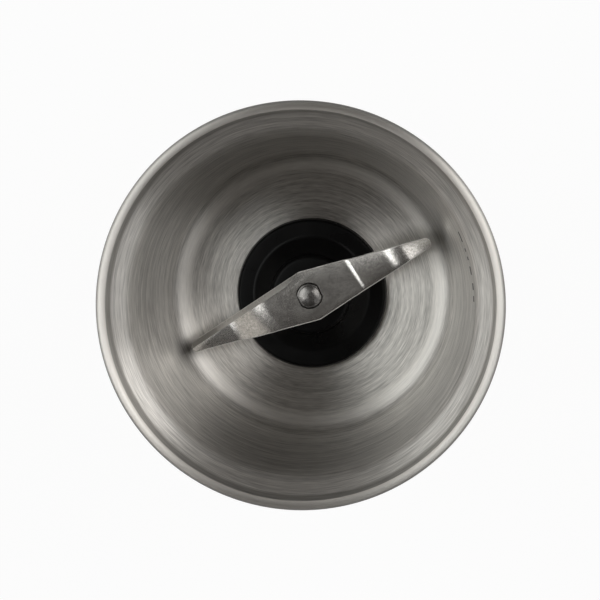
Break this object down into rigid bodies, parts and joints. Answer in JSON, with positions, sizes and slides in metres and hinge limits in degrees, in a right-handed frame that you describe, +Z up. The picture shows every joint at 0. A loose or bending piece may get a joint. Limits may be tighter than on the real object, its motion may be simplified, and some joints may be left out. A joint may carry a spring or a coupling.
{
  "type": "electric spice grinder",
  "caption": "Electric spice grinder with a brushed steel grinding cup, a bent two-wing blade on a black hub, and a motor base with a push button.",
  "frame": {"origin": "centre of the base on the table, under the feet", "axes": "+Z up through the cup and the motor; -Y is the front, where the push button is; the cord inlet is at +Y"},
  "size_m": [0.096, 0.096, 0.1688],
  "materials": {
    "black_gloss": "black moulded plastic, polished",
    "black_plastic": "black moulded plastic, fine satin grain",
    "blade_steel": "hardened stainless sheet, ground edges",
    "brass": "brass strip",
    "bronze": "sintered bronze",
    "brushed_steel": "brushed stainless sheet",
    "carbon": "pressed carbon",
    "commutator_copper": "turned copper bars",
    "copper_winding": "enamelled copper wire",
    "die_cast": "die-cast alloy",
    "lamination": "stacked electrical steel sheet",
    "lead_insulation": "grey insulated hook-up wire",
    "red_plastic": "red plastic",
    "rubber": "black rubber",
    "seal_rubber": "food grade rubber",
    "shaft_steel": "turned and polished steel",
    "white_plastic": "natural glass-filled plastic",
    "zinc_steel": "zinc-plated steel"
  },
  "bodies": {
    "base": {"rubber_feet": "rubber", "bottom_cover": "black_plastic", "cord_gland": "rubber", "cover_screws": "zinc_steel", "steel_sleeve": "brushed_steel", "inner_chassis": "black_plastic", "top_collar": "black_plastic", "collar_screws": "zinc_steel", "stator_core": "lamination", "field_coil_right": "copper_winding", "field_coil_left": "copper_winding", "lower_bracket": "die_cast", "upper_bracket": "die_cast", "lower_bush": "bronze", "upper_bush": "bronze", "tie_bolts": "zinc_steel", "motor_dampers": "rubber", "motor_screws": "zinc_steel", "brush_holder_right": "brass", "brush_holder_left": "brass", "carbon_brush_right": "carbon", "carbon_brush_left": "carbon", "brush_spring_right": "zinc_steel", "brush_spring_left": "zinc_steel", "button_bezel": "black_gloss", "button_spring": "zinc_steel", "micro_switch": "black_plastic", "switch_terminals": "brass", "switch_screws": "zinc_steel", "field_lead_right": "lead_insulation", "field_lead_left": "lead_insulation", "switch_lead": "lead_insulation"},
    "rotor": {"motor_shaft": "shaft_steel", "cooling_fan": "white_plastic", "commutator": "commutator_copper", "armature_core": "lamination", "armature_winding": "copper_winding", "drive_coupling": "white_plastic"},
    "cup": {"grinding_cup": "brushed_steel", "cup_base": "black_plastic", "hub_disc": "black_plastic", "hub_gasket": "seal_rubber", "hub_screws": "zinc_steel", "cup_bush": "bronze", "shaft_seal": "seal_rubber"},
    "blade_unit": {"blade": "blade_steel", "blade_shaft": "shaft_steel", "blade_spacer": "shaft_steel", "thrust_washer": "bronze", "driven_coupling": "black_plastic"},
    "button": {"push_button": "black_gloss", "button_clip": "zinc_steel"},
    "plunger": {"switch_plunger": "red_plastic"}
  },
  "joints": [
    {"name": "cup_lift", "type": "slide", "parent": "base", "child": "cup", "axis": [0, 0, 1], "range_m": [0, 0.06]},
    {"name": "motor_spin", "type": "hinge", "parent": "base", "child": "rotor", "pos_m": [0, 0, 0.06], "axis": [0, 0, 1], "continuous": true},
    {"name": "blade_spin", "type": "hinge", "parent": "cup", "child": "blade_unit", "pos_m": [0, 0, 0.12], "axis": [0, 0, 1], "continuous": true},
    {"name": "button_press", "type": "slide", "parent": "base", "child": "button", "axis": [0, 1, 0], "range_m": [0, 0.002], "stiffness_N_per_m": 800, "springref_m": -0.003, "deforming": ["button_spring"]},
    {"name": "plunger_press", "type": "slide", "parent": "base", "child": "plunger", "axis": [0, 1, 0], "range_m": [0, 0.002]}
  ],
  "couplings": [
    {"joint": "blade_spin", "follows": "motor_spin", "ratio": 1},
    {"joint": "plunger_press", "follows": "button_press", "ratio": 1}
  ]
}
